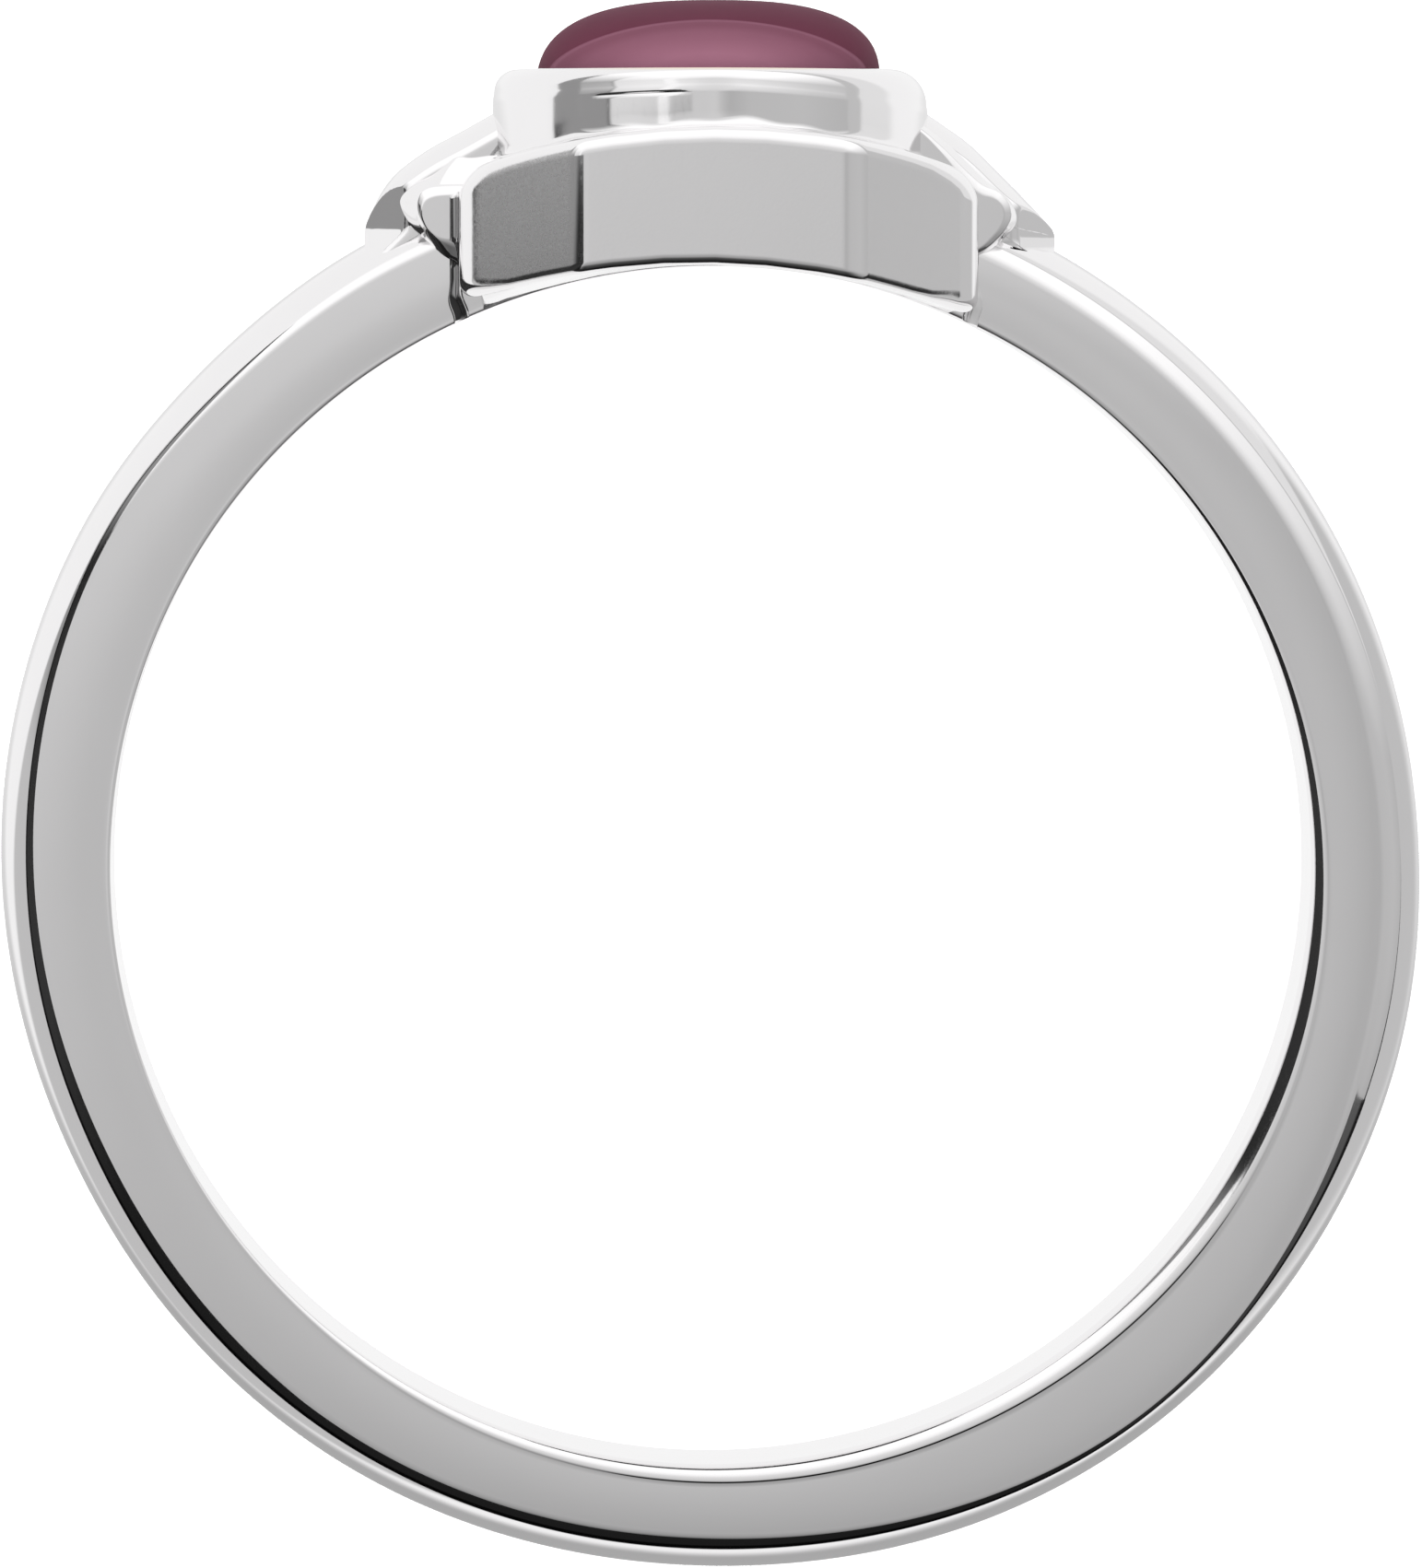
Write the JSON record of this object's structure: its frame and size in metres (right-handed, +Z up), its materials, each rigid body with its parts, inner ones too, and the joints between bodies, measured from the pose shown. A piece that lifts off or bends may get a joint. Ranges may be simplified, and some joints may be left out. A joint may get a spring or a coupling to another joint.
{
  "type": "cabochon ring",
  "caption": "Finger ring with a half-round band, an eight-sided arched base plate, stepped shoulders and a heavy oval bezel holding a domed stone.",
  "frame": {"origin": "middle of the bounding box, on the surface that the ring lies on", "axes": "+Y towards the stone along the lying ring, +Z up, +X across the finger; the finger's axis leans back from +Z by 11 degrees"},
  "size_m": [0.0204, 0.0226, 0.0095],
  "materials": {
    "white_metal": "mirror-polished white gold or silver, with finer satin on the base plate's facets",
    "stone": "polished translucent plum cabochon"
  },
  "bodies": {
    "root": {"ring_mount": "white_metal", "cabochon": "stone"}
  },
  "joints": []
}
